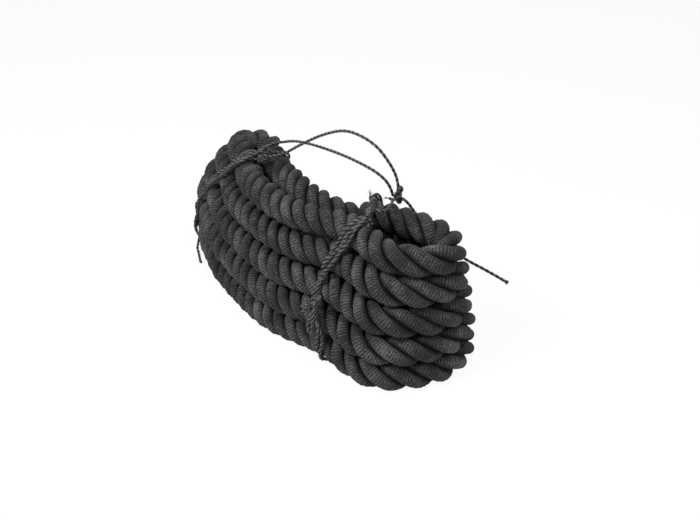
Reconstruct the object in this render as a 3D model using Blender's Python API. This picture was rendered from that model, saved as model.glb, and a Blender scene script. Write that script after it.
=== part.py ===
"""Battle rope wound into a standing hank, held by two twine bindings and lifted by a twine loop."""
import math

import bmesh
import bpy
import numpy as np
from mathutils import Matrix

# Driving dimensions, in metres
ROPE_D = 0.038
TWINE_D = 0.004
STACK_GAP = 0.0022
SEAT_GAP = 0.0003
LAYER_STEP = ROPE_D + STACK_GAP
FLAT_DEPTH = ROPE_D / 12
LIFT = 0.009
LIFT_LENGTH = 0.072
SLEEVE_LENGTH = 0.026
SLEEVE_EDGE = 0.003
BINDING_PITCH = 0.009
BINDING_REACH = 0.020
KNOT_LENGTH = 0.018
KNOT_RADIUS = 0.0062
KNOT_GROOVE = 0.0008
TWINE_STEP = 0.010
MEASURE_STEP = 0.004
BINDING_SLACK = 0.0003
BINDING_END = 0.028
BINDING_NEAR = 0.120
MERGE = 0.00001

# Counts
LAYERS = 5
INNER_TURNS = 3
LOOP_POINTS = 24
SPAN_POINTS = 20
BINDING_POINTS = 100
BINDING_TURNS = 2
BINDING_SPAN = 20
PULLS = 900
SETTLES = 4
KNOT_TURNS = 4
KNOT_SIDES = 16
SLEEVE_SIDES = 24
GROOVE_STEPS = 4
GAP_STEPS = 8
GAP_SKIP = 14

# Where the frame's origin lies in the plan of the routes
ORIGIN = (-0.0914, -0.0182)

# Plan of the top outer loop, anticlockwise from the front run at the left binding
TOP_LOOP = [
    (-0.198, -0.017), (-0.147, -0.048), (-0.044, -0.068), (0.051, -0.056), (0.138, -0.068), (0.187, -0.020),
    (0.151, 0.021), (0.051, -0.002), (-0.049, -0.017), (-0.174, 0.021), (-0.234, 0.058), (-0.263, 0.028),
]

# Plan of the bottom outer loop
BOTTOM_LOOP = [
    (-0.317, -0.010), (-0.222, -0.067), (-0.071, -0.111), (0.050, -0.112), (0.149, -0.114), (0.206, -0.035),
    (0.174, 0.043), (0.049, 0.0665), (-0.053, 0.0645), (-0.267, 0.078), (-0.360, 0.091), (-0.392, 0.058),
]

# Plan of the inner loop one layer down from the top
INNER_TOP = [
    (-0.138, -0.0175), (-0.102, -0.0285), (-0.058, -0.0355), (0.049, -0.028), (0.116, -0.045),
    (0.145, -0.027), (0.116, -0.008), (0.049, -0.0242), (-0.053, -0.0333), (-0.107, -0.006),
    (-0.129, 0.003), (-0.142, -0.006),
]

# Plan of the bottom inner loop
INNER_BOTTOM = [
    (-0.196, -0.031), (-0.147, -0.0515), (-0.058, -0.0695), (0.049, -0.067), (0.124, -0.066),
    (0.157, -0.027), (0.125, 0.010), (0.049, 0.016), (-0.053, 0.018), (-0.160, 0.0225),
    (-0.205, 0.016), (-0.218, -0.009),
]

# How far each layer's loop lies from the top loop to the bottom loop
LAYER_SHARES = (0.0, 0.36, 0.68, 0.92, 1.0)

# Phases along a loop, in steps between its points, from a back run's start
START_PHASE = 13.1
END_PHASE = 6.72
BACK_PHASE = 6.0
CLIMB_PHASES = (6.6, 8.6)
SHIFT_PHASES = (7.9, 9.2)
DESCENT_PHASES = (13.3, 15.7)

# Where the bindings lift the runs: plan x of the right binding, and the span of the left end
RIGHT_LIFT_X = 0.058
LEFT_LIFT_X = -0.258

# The way the runs go at each binding, and the twine's course from its knot down the front and round
LEFT_RUN = (-0.669, 0.743, 0.0)
LEFT_COURSE = [
    (-0.176, -0.006, 0.205), (-0.212, -0.019, 0.190), (-0.269, -0.014, 0.135), (-0.312, -0.017, 0.095),
    (-0.339, -0.020, 0.055), (-0.334, -0.025, 0.010), (-0.300, 0.040, 0.004), (-0.262, 0.090, 0.015),
    (-0.245, 0.090, 0.055), (-0.222, 0.074, 0.095), (-0.192, 0.056, 0.135), (-0.160, 0.036, 0.185),
]
RIGHT_RUN = (1.0, 0.0, 0.0)
RIGHT_COURSE = [
    (0.077, -0.040, 0.207), (0.073, -0.064, 0.190), (0.057, -0.080, 0.147), (0.044, -0.100, 0.107),
    (0.052, -0.124, 0.080), (0.064, -0.131, 0.050), (0.066, -0.125, 0.010), (0.060, -0.020, 0.003),
    (0.052, 0.080, 0.015), (0.046, 0.088, 0.060), (0.038, 0.070, 0.110), (0.038, 0.040, 0.160),
    (0.042, -0.004, 0.205),
]

# Knots off the bindings: where the front knot rests on the right binding, and where the carry knot hangs
FRONT_KNOT = (0.050, -0.110, 0.092)
CARRY_KNOT = (0.065, 0.031, 0.205)
UP = (0.0, 0.0, 1.0)
DOWN = (0.0, 0.0, -1.0)
LEFTWARD = (-1.0, 0.0, 0.0)
FRONTWARD = (0.0, -1.0, 0.0)
NEARWARD = (0.669, -0.743, 0.0)

# Free twine routes, between the knots that they leave and come to
UPPER_LOOP = [
    (-0.162, 0.001, 0.207), (-0.138, 0.007, 0.219), (-0.106, 0.008, 0.242), (-0.063, 0.009, 0.270),
    (-0.022, 0.009, 0.289), (0.010, 0.010, 0.291), (0.037, 0.014, 0.281), (0.054, 0.021, 0.260),
    (0.061, 0.029, 0.238),
]
LOWER_LOOP = [
    (-0.186, 0.024, 0.213), (-0.176, 0.039, 0.214), (-0.146, 0.035, 0.226), (-0.110, 0.031, 0.234),
    (-0.070, 0.027, 0.239), (-0.030, 0.023, 0.242), (0.008, 0.018, 0.243), (0.033, 0.017, 0.240),
    (0.047, 0.021, 0.231), (0.053, 0.026, 0.219),
]
LINK = [(0.068, 0.015, 0.209), (0.077, 0.001, 0.211), (0.085, -0.014, 0.214), (0.088, -0.030, 0.216)]
LONG_TAIL = [
    (0.079, 0.037, 0.197), (0.084, 0.044, 0.184), (0.099, 0.050, 0.165), (0.122, 0.058, 0.144),
    (0.144, 0.068, 0.128), (0.166, 0.074, 0.119), (0.190, 0.080, 0.112), (0.224, 0.087, 0.102),
]
LEFT_TAIL = [
    (-0.305, -0.050, 0.008), (-0.297, -0.055, 0.003), (-0.285, -0.063, 0.002), (-0.272, -0.0715, 0.002),
]
FRONT_TAIL = [(0.048, -0.142, 0.066), (0.052, -0.143, 0.054)]

collection = bpy.data.collections.new("battle_rope")
cutters = bpy.data.collections.new("cutters")
materials = {}


def clear_scene():
    """Empties the scene and links the part's collections."""
    for item in list(bpy.data.objects):
        bpy.data.objects.remove(item, do_unlink=True)
    bpy.context.scene.collection.children.link(collection)
    bpy.context.scene.collection.children.link(cutters)


def add_material(name, colour, roughness):
    material = bpy.data.materials.new(name)
    material.use_nodes = True
    shader = material.node_tree.nodes["Principled BSDF"]
    shader.inputs["Base Color"].default_value = (*colour, 1.0)
    shader.inputs["Roughness"].default_value = roughness
    material.diffuse_color = (*colour, 1.0)
    materials[name] = material


def smoothstep(value, start, end):
    """Zero before start, one after end, smooth between."""
    share = np.clip((value - start) / (end - start), 0.0, 1.0)
    return share * share * (3.0 - 2.0 * share)


def catmull(before, start, end, after, share):
    """A Catmull-Rom span between start and end."""
    linear = (end - before) * share
    square = (2 * before - 5 * start + 4 * end - after) * share**2
    cube = (3 * start - before - 3 * end + after) * share**3
    return 0.5 * (2 * start + linear + square + cube)


def on_loop(points, phase):
    """The point of a closed smooth curve at a phase."""
    points = np.array(points)
    count = len(points)
    index = int(math.floor(phase))
    nearby = [points[(index + step) % count] for step in (-1, 0, 1, 2)]
    return catmull(*nearby, phase - index)


def smooth_route(points, spacing):
    """An open smooth curve through the points, read at even steps."""
    points = np.array(points)
    padded = np.vstack([2 * points[0] - points[1], points, 2 * points[-1] - points[-2]])
    dense = []
    for index in range(1, len(points)):
        for share in np.linspace(0.0, 1.0, SPAN_POINTS, endpoint=False):
            dense.append(catmull(*padded[index - 1:index + 3], share))
    dense.append(points[-1])
    return even_steps(np.array(dense), spacing)


def run_length(path):
    """How far along a path each of its points lies."""
    return np.concatenate([[0.0], np.cumsum(np.linalg.norm(np.diff(path, axis=0), axis=1))])


def even_steps(path, spacing):
    """The same path with points at even steps."""
    lengths = run_length(path)
    count = max(2, int(round(lengths[-1] / spacing)) + 1)
    marks = np.linspace(0.0, lengths[-1], count)
    return np.column_stack([np.interp(marks, lengths, path[:, axis]) for axis in range(3)])


def route(points):
    """A free route in the part's frame."""
    return np.array(points) - np.array([ORIGIN[0], ORIGIN[1], 0.0])


def level_and_column(turns, phase):
    """The layer, counted down from the top, and the column, 0 inner and 1 outer, at a turn and phase."""
    if turns < INNER_TURNS:
        return 1 + turns + smoothstep(phase, *DESCENT_PHASES), 0.0
    if turns == INNER_TURNS:
        return float(LAYERS - 1), smoothstep(phase, *SHIFT_PHASES)
    climbed = turns - INNER_TURNS - 1 + smoothstep(phase, *CLIMB_PHASES)
    return LAYERS - 1 - climbed, 1.0


def lifted(x):
    """How far the bindings hold the runs up at a plan x."""
    right = math.exp(-(((x - RIGHT_LIFT_X) / LIFT_LENGTH) ** 2))
    left = 1.0 - smoothstep(x, LEFT_LIFT_X, LEFT_LIFT_X + LIFT_LENGTH)
    return LIFT * max(right, left)


def hank_point(position):
    """The rope's axis at a position counted in loop points from the first loop's start."""
    steps = len(TOP_LOOP)
    turns = int((position - BACK_PHASE) // steps)
    phase = position - turns * steps
    level, column = level_and_column(turns, phase)
    share = float(np.interp(level, range(LAYERS), LAYER_SHARES))
    outer = (1 - share) * on_loop(TOP_LOOP, phase) + share * on_loop(BOTTOM_LOOP, phase)
    first = LAYER_SHARES[1]
    inner_share = (share - first) / (1 - first)
    inner = (1 - inner_share) * on_loop(INNER_TOP, phase) + inner_share * on_loop(INNER_BOTTOM, phase)
    plan = column * outer + (1 - column) * inner
    height = ROPE_D / 2 - FLAT_DEPTH + (LAYERS - 1 - level) * LAYER_STEP + lifted(plan[0])
    return np.array([plan[0] - ORIGIN[0], plan[1] - ORIGIN[1], height])


def hank_path(per_loop):
    """The rope's axis, from its first end inside the hank to its last end under the right binding."""
    steps = len(TOP_LOOP)
    last = (INNER_TURNS + LAYERS) * steps + END_PHASE
    count = int(round((last - START_PHASE) / steps * per_loop)) + 1
    return np.array([hank_point(position) for position in np.linspace(START_PHASE, last, count)])


def straighten_ends(path, length):
    """Adds a straight length at each end, in line with it, for a square cut."""
    first = path[0] - path[1]
    last = path[-1] - path[-2]
    start = path[0] + first / np.linalg.norm(first) * length
    end = path[-1] + last / np.linalg.norm(last) * length
    return np.vstack([start, path, end])


def least_gap(path, diameter):
    """The least distance between stretches of the tube that aren't neighbours, less the diameter."""
    dense = even_steps(path, diameter / GAP_STEPS)
    least = np.inf
    for index in range(len(dense) - GAP_SKIP):
        least = min(least, np.linalg.norm(dense[index + GAP_SKIP:] - dense[index], axis=1).min())
    return least - diameter


def add_tube(name, path, diameter, material, resolution=2):
    """A tube with filled caps along a path."""
    curve = bpy.data.curves.new(name, "CURVE")
    curve.dimensions = "3D"
    curve.bevel_depth = diameter / 2
    curve.bevel_resolution = resolution
    curve.use_fill_caps = True
    curve.twist_mode = "MINIMUM"
    spline = curve.splines.new("POLY")
    spline.points.add(len(path) - 1)
    for point, place in zip(spline.points, path):
        point.co = (*place, 1.0)
    curve.materials.append(materials[material])
    item = bpy.data.objects.new(name, curve)
    collection.objects.link(item)
    return item


def mesh_from(item):
    """Turns a curve object into a mesh with its caps welded."""
    bpy.context.view_layer.update()
    evaluated = item.evaluated_get(bpy.context.evaluated_depsgraph_get())
    mesh = bpy.data.meshes.new_from_object(evaluated)
    name = item.name
    matrix = item.matrix_world.copy()
    bpy.data.objects.remove(item, do_unlink=True)
    shape = bmesh.new()
    shape.from_mesh(mesh)
    bmesh.ops.remove_doubles(shape, verts=shape.verts, dist=MERGE)
    shape.to_mesh(mesh)
    shape.free()
    solid = bpy.data.objects.new(name, mesh)
    solid.matrix_world = matrix
    collection.objects.link(solid)
    return solid


def cut_flat(item):
    """Cuts the hank flat where it stands."""
    low = [min(corner[axis] for corner in item.bound_box) for axis in range(3)]
    high = [max(corner[axis] for corner in item.bound_box) for axis in range(3)]
    bpy.ops.mesh.primitive_cube_add(size=1.0)
    block = bpy.context.active_object
    block.name = "floor_cutter"
    block.scale = (high[0] - low[0] + ROPE_D, high[1] - low[1] + ROPE_D, ROPE_D)
    block.location = ((low[0] + high[0]) / 2, (low[1] + high[1]) / 2, -ROPE_D / 2)
    for group in list(block.users_collection):
        group.objects.unlink(block)
    cutters.objects.link(block)
    block.hide_render = True
    block.display_type = "WIRE"
    cut = item.modifiers.new("Flat foot", "BOOLEAN")
    cut.operation = "DIFFERENCE"
    cut.solver = "EXACT"
    cut.object = block


def axes_about(direction):
    """Three axes with the last along a direction."""
    along = np.array(direction) / np.linalg.norm(direction)
    helper = np.array([0.0, 0.0, 1.0]) if abs(along[2]) < 0.9 else np.array([1.0, 0.0, 0.0])
    side = np.cross(helper, along)
    side = side / np.linalg.norm(side)
    return side, np.cross(along, side), along


def add_turned(name, profile, sides, place, direction, material):
    """A profile of radius and height, turned about a direction from a place."""
    shape = bmesh.new()
    corners = [shape.verts.new((radius, 0.0, height)) for radius, height in profile]
    for first, second in zip(corners, corners[1:]):
        shape.edges.new((first, second))
    bmesh.ops.spin(
        shape, geom=shape.verts[:] + shape.edges[:], cent=(0, 0, 0), axis=(0, 0, 1),
        angle=2 * math.pi, steps=sides, use_merge=True,
    )
    bmesh.ops.remove_doubles(shape, verts=shape.verts, dist=MERGE)
    bmesh.ops.recalc_face_normals(shape, faces=shape.faces)
    mesh = bpy.data.meshes.new(name)
    shape.to_mesh(mesh)
    shape.free()
    mesh.materials.append(materials[material])
    mesh.shade_smooth()
    item = bpy.data.objects.new(name, mesh)
    collection.objects.link(item)
    axes = axes_about(direction)
    rows = [[float(axis[row]) for axis in axes] + [float(place[row])] for row in range(3)]
    item.matrix_world = Matrix(rows + [[0.0, 0.0, 0.0, 1.0]])
    return item


def add_sleeve(name, end, before):
    """A shrunk cap over the rope's cut end."""
    outside = ROPE_D / 2
    profile = [
        (0.0, SEAT_GAP), (outside, SEAT_GAP), (outside, SLEEVE_LENGTH - SLEEVE_EDGE),
        (outside - SLEEVE_EDGE, SLEEVE_LENGTH), (0.0, SLEEVE_LENGTH),
    ]
    add_turned(name, profile, SLEEVE_SIDES, end, end - before, "sleeve")


def add_knot(name, place, direction):
    """A barrel of close turns of twine, square at both ends."""
    steps = KNOT_TURNS * GROOVE_STEPS
    profile = [(0.0, -KNOT_LENGTH / 2)]
    for step in range(steps + 1):
        wave = KNOT_GROOVE * math.cos(2 * math.pi * step / GROOVE_STEPS)
        profile.append((KNOT_RADIUS - KNOT_GROOVE - wave, KNOT_LENGTH * (step / steps - 1 / 2)))
    profile.append((0.0, KNOT_LENGTH / 2))
    add_turned(name, profile, KNOT_SIDES, place, direction, "twine")


def closed_curve(points, per_span):
    """A closed smooth curve through three-dimensional points."""
    phases = np.arange(0, len(points), 1 / per_span)
    return np.array([on_loop(points, phase) for phase in phases])


def clear_of(rope, path, least):
    """Moves the points of a path that are too near the rope's axis straight away from it."""
    gaps = path[:, None, :] - rope[None, :, :]
    distances = np.linalg.norm(gaps, axis=2)
    nearest = distances.argmin(axis=1)
    rows = np.arange(len(path))
    away = gaps[rows, nearest] / distances[rows, nearest][:, None]
    return path + np.maximum(least - distances[rows, nearest], 0.0)[:, None] * away


def thinned(path, slack):
    """Leaves out the points that lie on the line between their neighbours, within a slack."""
    kept = [0]
    for index in range(2, len(path)):
        start = path[kept[-1]]
        chord = path[index] - start
        off = np.linalg.norm(np.cross(path[kept[-1] + 1:index] - start, chord), axis=1)
        if off.max() > slack * np.linalg.norm(chord):
            kept.append(index - 1)
    return path[kept + [len(path) - 1]]


def off_floor(path):
    """A twine's path, kept from sinking into the floor."""
    path[:, 2] = np.maximum(path[:, 2], TWINE_D / 2)
    return path


def tight_loop(rope, course, run, clear):
    """One closed loop of twine pulled tight about the runs."""
    loop = closed_curve(route(course), BINDING_SPAN)
    loop = np.vstack([loop, loop[:1]])
    loop = even_steps(loop, run_length(loop)[-1] / BINDING_POINTS)[:-1]
    home = loop @ run
    outward = loop - loop.mean(axis=0)
    outward -= np.outer(outward @ run, run)
    loop = loop + BINDING_REACH * outward / np.linalg.norm(outward, axis=1)[:, None]
    for _ in range(PULLS):
        loop = (np.roll(loop, 1, axis=0) + np.roll(loop, -1, axis=0)) / 2
        loop = clear_of(rope, loop, clear)
        loop -= np.outer(loop @ run - home, run)
        loop = off_floor(loop)
    return loop


def draw_tight(rope, course, run):
    """Turns of twine pulled tight about the runs, from the knot down the front and round to the knot."""
    run = np.array(run)
    start = route(course)
    clear = (ROPE_D + TWINE_D) / 2 + SEAT_GAP + BINDING_SLACK
    away = np.linalg.norm(rope[:, None, :] - start[None, :, :], axis=2).min(axis=1)
    near = rope[away < BINDING_NEAR]
    loop = tight_loop(near, course, run, clear)

    count = len(loop)
    total = BINDING_TURNS * count + 1
    drift = BINDING_PITCH * (np.arange(total) / count - BINDING_TURNS / 2)
    path = np.array([loop[index % count] for index in range(total)]) + np.outer(drift, run)
    for _ in range(SETTLES):
        path = off_floor(clear_of(near, path, clear))

    middle = path[count // 2:count + count // 2]
    index = np.linalg.norm(middle - start[0], axis=1).argmin()
    way = middle[index + 2] - middle[index - 2]
    way /= np.linalg.norm(way)
    above = np.array(UP) - way[2] * way
    knot = middle[index] + above / np.linalg.norm(above) * (TWINE_D / 2 + SEAT_GAP + KNOT_RADIUS)
    starts = leaving(knot, way, KNOT_LENGTH / 2)
    ends = leaving(knot, -way, KNOT_LENGTH / 2)
    clear_ends = np.linalg.norm(path - knot, axis=1) > BINDING_END
    first = np.argmax(clear_ends)
    last = len(path) - np.argmax(clear_ends[::-1])
    return np.vstack([starts, thinned(path[first:last], BINDING_SLACK), ends[::-1]]), knot, way


def in_front(turns, place):
    """Where an upright knot near a place lies against the front of a binding."""
    least = TWINE_D / 2 + SEAT_GAP + KNOT_RADIUS
    crest = (KNOT_LENGTH - KNOT_LENGTH / KNOT_TURNS) / 2
    for height in np.linspace(place[2] - crest, place[2] + crest, KNOT_SIDES):
        room = least**2 - (turns[:, 0] - place[0]) ** 2 - (turns[:, 2] - height) ** 2
        touched = room > 0
        fronts = turns[touched, 1] - np.sqrt(room[touched])
        place[1] = min([place[1], *fronts])
    return place


def leaving(place, direction, length):
    """Two points that lead a twine square away from a surface at a distance from a place."""
    direction = np.array(direction) / np.linalg.norm(direction)
    return [place + direction * (length + SEAT_GAP), place + direction * (length + SEAT_GAP + TWINE_D)]


def beside(knot, way, direction):
    """Two points that lead a twine square away from a knot's side."""
    direction = np.array(direction) - np.dot(direction, way) * np.array(way)
    return leaving(knot, direction, KNOT_RADIUS)


def add_twine(name, start, points, end=()):
    """A free twine from a start through a route's points to an end, kept off the floor."""
    path = smooth_route([*start[1:], *route(points), *end[1:]], TWINE_STEP)
    path = off_floor(np.vstack([start[:1], path, *end[:1]]))
    print("%s %.3f m" % (name, run_length(path)[-1]))
    add_tube(name, path, TWINE_D, "twine")


def main():
    clear_scene()
    add_material("rope", (0.045, 0.045, 0.05), 0.95)
    add_material("twine", (0.09, 0.09, 0.095), 0.9)
    add_material("sleeve", (0.02, 0.02, 0.022), 0.55)

    path = straighten_ends(hank_path(LOOP_POINTS), ROPE_D)
    print("rope %.3f m, least gap to itself %.2f mm" % (run_length(path)[-1], least_gap(path, ROPE_D) * 1000))
    cut_flat(mesh_from(add_tube("rope_hank", path, ROPE_D, "rope", 1)))
    add_sleeve("first_end_sleeve", path[0], path[1])
    add_sleeve("last_end_sleeve", path[-1], path[-2])

    near = even_steps(path, MEASURE_STEP)
    bindings = {}
    knots = {}
    ways = {"front": DOWN, "carry": DOWN}
    for side, course, run in (("left", LEFT_COURSE, LEFT_RUN), ("right", RIGHT_COURSE, RIGHT_RUN)):
        turns, knots[side], ways[side] = draw_tight(near, course, run)
        gap = least_gap(turns, TWINE_D) * 1000
        print("%s binding %.3f m, least gap to itself %.2f mm" % (side, run_length(turns)[-1], gap))
        add_tube(side + "_binding", turns, TWINE_D, "twine", 1)
        add_knot(side + "_knot", knots[side], ways[side])
        bindings[side] = turns

    turns = even_steps(bindings["right"], TWINE_D / 8)
    knots["front"] = in_front(turns, route(FRONT_KNOT))
    knots["carry"] = route(CARRY_KNOT)
    add_knot("front_knot", knots["front"], DOWN)
    add_knot("carry_knot", knots["carry"], DOWN)

    half = KNOT_LENGTH / 2
    left, right, front, carry = knots["left"], knots["right"], knots["front"], knots["carry"]
    upper_start = beside(left, ways["left"], NEARWARD)
    lower_start = beside(left, ways["left"], LEFT_RUN)
    link_end = beside(right, ways["right"], RIGHT_RUN)
    add_twine("carry_loop_upper", upper_start, UPPER_LOOP, leaving(carry, UP, half))
    add_twine("carry_loop_lower", lower_start, LOWER_LOOP, beside(carry, DOWN, LEFTWARD))
    add_twine("carry_link", beside(carry, DOWN, FRONTWARD), LINK, link_end)
    add_twine("long_tail", beside(carry, DOWN, RIGHT_RUN), LONG_TAIL)
    add_twine("front_tail", leaving(front, DOWN, half), FRONT_TAIL)
    turns = even_steps(bindings["left"], MEASURE_STEP)
    tail_start = route(LEFT_TAIL)[0]
    seat = turns[np.linalg.norm(turns - tail_start, axis=1).argmin()]
    add_twine("left_tail", leaving(seat, tail_start - seat, TWINE_D / 2), LEFT_TAIL)


main()
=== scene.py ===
"""Battle rope in a standing hank: a laid rope with sleeved strands, bound and lifted with twisted twine."""
import math

import bpy
import numpy as np
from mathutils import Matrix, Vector
from mathutils.kdtree import KDTree


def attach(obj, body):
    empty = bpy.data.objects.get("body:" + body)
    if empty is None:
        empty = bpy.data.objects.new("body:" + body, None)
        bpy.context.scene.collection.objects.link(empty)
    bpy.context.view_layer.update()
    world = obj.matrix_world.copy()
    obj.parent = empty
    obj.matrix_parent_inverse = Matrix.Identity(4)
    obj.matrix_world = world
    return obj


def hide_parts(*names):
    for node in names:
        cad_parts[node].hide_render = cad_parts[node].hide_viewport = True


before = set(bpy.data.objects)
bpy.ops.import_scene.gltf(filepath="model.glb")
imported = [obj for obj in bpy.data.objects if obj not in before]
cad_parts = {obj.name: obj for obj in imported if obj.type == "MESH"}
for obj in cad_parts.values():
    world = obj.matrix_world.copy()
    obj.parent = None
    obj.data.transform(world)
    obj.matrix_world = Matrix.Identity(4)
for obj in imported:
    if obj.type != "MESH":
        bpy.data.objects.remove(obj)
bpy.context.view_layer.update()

# Driving dimensions, in metres
ROPE_D = 0.038
TWINE_D = 0.004
STACK_GAP = 0.0022
SEAT_GAP = 0.0003
LAYER_STEP = ROPE_D + STACK_GAP
FLAT_DEPTH = ROPE_D / 12
LIFT = 0.009
LIFT_LENGTH = 0.072
SLEEVE_LENGTH = 0.026
BINDING_PITCH = 0.0042
BINDING_REACH = 0.020
KNOT_LENGTH = 0.018
KNOT_RADIUS = 0.0062
MEASURE_STEP = 0.004
BINDING_SLACK = 0.0003
BINDING_END = 0.028
BINDING_NEAR = 0.120
MERGE = 0.00001

# Counts
LAYERS = 5
INNER_TURNS = 3
LOOP_POINTS = 24
SPAN_POINTS = 20
BINDING_POINTS = 100
BINDING_TURNS = 2
BINDING_SPAN = 20
PULLS = 900
SETTLES = 4
KNOT_TURNS = 4
KNOT_SIDES = 16

# Where the frame's origin lies in the plan of the routes
ORIGIN = (-0.0914, -0.0182)

# Plan of the top outer loop, anticlockwise from the front run at the left binding
TOP_LOOP = [
    (-0.198, -0.017), (-0.147, -0.048), (-0.044, -0.068), (0.051, -0.056), (0.138, -0.068), (0.187, -0.020),
    (0.151, 0.021), (0.051, -0.002), (-0.049, -0.017), (-0.174, 0.021), (-0.234, 0.058), (-0.263, 0.028),
]

# Plan of the bottom outer loop
BOTTOM_LOOP = [
    (-0.317, -0.010), (-0.222, -0.067), (-0.071, -0.111), (0.050, -0.112), (0.149, -0.114), (0.206, -0.035),
    (0.174, 0.043), (0.049, 0.0665), (-0.053, 0.0645), (-0.267, 0.078), (-0.360, 0.091), (-0.392, 0.058),
]

# Plan of the inner loop one layer down from the top
INNER_TOP = [
    (-0.138, -0.0175), (-0.102, -0.0285), (-0.058, -0.0355), (0.049, -0.028), (0.116, -0.045),
    (0.145, -0.027), (0.116, -0.008), (0.049, -0.0242), (-0.053, -0.0333), (-0.107, -0.006),
    (-0.129, 0.003), (-0.142, -0.006),
]

# Plan of the bottom inner loop
INNER_BOTTOM = [
    (-0.196, -0.031), (-0.147, -0.0515), (-0.058, -0.0695), (0.049, -0.067), (0.124, -0.066),
    (0.157, -0.027), (0.125, 0.010), (0.049, 0.016), (-0.053, 0.018), (-0.160, 0.0225),
    (-0.205, 0.016), (-0.218, -0.009),
]

# How far each layer's loop lies from the top loop to the bottom loop
LAYER_SHARES = (0.0, 0.36, 0.68, 0.92, 1.0)

# Phases along a loop, in steps between its points; each turn is counted from its back run's start
START_PHASE = 13.1
END_PHASE = 6.72
BACK_PHASE = 6.0
CLIMB_PHASES = (6.6, 8.6)
SHIFT_PHASES = (7.9, 9.2)
DESCENT_PHASES = (13.3, 15.7)

# Where the bindings lift the runs: plan x of the right one, and of the edge of the raised left end
RIGHT_LIFT_X = 0.058
LEFT_LIFT_X = -0.258

# The way the runs go at each binding, and the twine's course from its knot down the front and round
LEFT_RUN = (-0.669, 0.743, 0.0)
LEFT_COURSE = [
    (-0.176, -0.006, 0.205), (-0.212, -0.019, 0.190), (-0.269, -0.014, 0.135), (-0.312, -0.017, 0.095),
    (-0.339, -0.020, 0.055), (-0.334, -0.025, 0.010), (-0.300, 0.040, 0.004), (-0.262, 0.090, 0.015),
    (-0.245, 0.090, 0.055), (-0.222, 0.074, 0.095), (-0.192, 0.056, 0.135), (-0.160, 0.036, 0.185),
]
RIGHT_RUN = (1.0, 0.0, 0.0)
RIGHT_COURSE = [
    (0.077, -0.040, 0.207), (0.073, -0.064, 0.190), (0.057, -0.080, 0.147), (0.044, -0.100, 0.107),
    (0.052, -0.124, 0.080), (0.064, -0.131, 0.050), (0.066, -0.125, 0.010), (0.060, -0.020, 0.003),
    (0.052, 0.080, 0.015), (0.046, 0.088, 0.060), (0.038, 0.070, 0.110), (0.038, 0.040, 0.160),
    (0.042, -0.004, 0.205),
]

# Knots off the bindings: where the front knot rests on the right binding, and where the carry knot hangs
FRONT_KNOT = (0.050, -0.110, 0.092)
CARRY_KNOT = (0.065, 0.031, 0.205)

# Ways: along the axes and from the left binding towards the viewer, and how steep a way counts as upright
UP = (0.0, 0.0, 1.0)
DOWN = (0.0, 0.0, -1.0)
LEFTWARD = (-1.0, 0.0, 0.0)
RIGHTWARD = (1.0, 0.0, 0.0)
FRONTWARD = (0.0, -1.0, 0.0)
NEARWARD = (0.669, -0.743, 0.0)
UPRIGHT = 0.9

# Free twine routes, between the knots that they leave and come to
UPPER_LOOP = [
    (-0.162, 0.001, 0.207), (-0.138, 0.007, 0.219), (-0.106, 0.008, 0.242), (-0.063, 0.009, 0.270),
    (-0.022, 0.009, 0.289), (0.010, 0.010, 0.291), (0.037, 0.014, 0.281), (0.054, 0.021, 0.260),
    (0.061, 0.029, 0.238),
]
LOWER_LOOP = [
    (-0.186, 0.024, 0.213), (-0.176, 0.039, 0.214), (-0.146, 0.035, 0.226), (-0.110, 0.031, 0.234),
    (-0.070, 0.027, 0.239), (-0.030, 0.023, 0.242), (0.008, 0.018, 0.243), (0.033, 0.017, 0.240),
    (0.047, 0.021, 0.231), (0.053, 0.026, 0.219),
]
LINK = [(0.068, 0.015, 0.209), (0.077, 0.001, 0.211), (0.085, -0.014, 0.214), (0.088, -0.030, 0.216)]
LONG_TAIL = [
    (0.079, 0.037, 0.197), (0.084, 0.044, 0.184), (0.099, 0.050, 0.165), (0.122, 0.058, 0.144),
    (0.144, 0.068, 0.128), (0.166, 0.074, 0.119), (0.190, 0.080, 0.112), (0.224, 0.087, 0.102),
]
LEFT_TAIL = [
    (-0.305, -0.050, 0.008), (-0.297, -0.055, 0.003), (-0.285, -0.063, 0.002), (-0.272, -0.0715, 0.002),
]
FRONT_TAIL = [(0.048, -0.142, 0.066), (0.052, -0.143, 0.054)]

# How the rope's strands are laid: the lay, each strand's place and size, its rings, and how they vary
STRANDS = 3
LAY_LENGTH = 0.072
STRAND_CENTRE = 0.0121
STRAND_RADIUS = 0.0102
STRAND_WIDTH = 0.0088
STRAND_SIDES = 14
ROPE_STEP = 0.0044
FINE_STEPS = 10
SWELL = 0.04
SLIP = 0.10
SLIP_MARKS = 300
LAY_SEED = 4

# Where the bends pull the lay open, in the plan: the spans where that sets in, and by how much
RIGHT_END = (0.085, 0.165)
OPEN_FRONT = (-0.015, 0.055)
LEFT_END = (-0.330, -0.230)
RIGHT_OPEN = 0.50
LEFT_OPEN = 0.25
OPEN_WIDTH = 0.0099
STRETCH = 0.25

# How far the strands are pressed in by runs beside them, the floor and the twine
PRESSED = 0.004
PRESS_BLOCK = 4000
NEIGHBOUR_APART = 3 * ROPE_D
DENT_REACH = 0.007
DENT_DEPTH = 0.003
DENT_LIMIT = 2.5 * DENT_REACH
DENT_STEP = 0.003

# The cut ends, and the woven caps over them: mouth, body and lobes are shares of the rope's radius
END_TAPER = 0.16
SLEEVE_LAP = 0.009
SLEEVE_MOUTH = 0.90
SLEEVE_BODY = 0.96
SLEEVE_NECK = 0.0118
SLEEVE_NECK_SHARE = 0.3
SLEEVE_RINGS = 12
DOME_HEIGHT = 0.8
DOME_FULLNESS = 0.8
DOME_RINGS = 10
CAP_SIDES = 48
LOBE = 0.06

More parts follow.
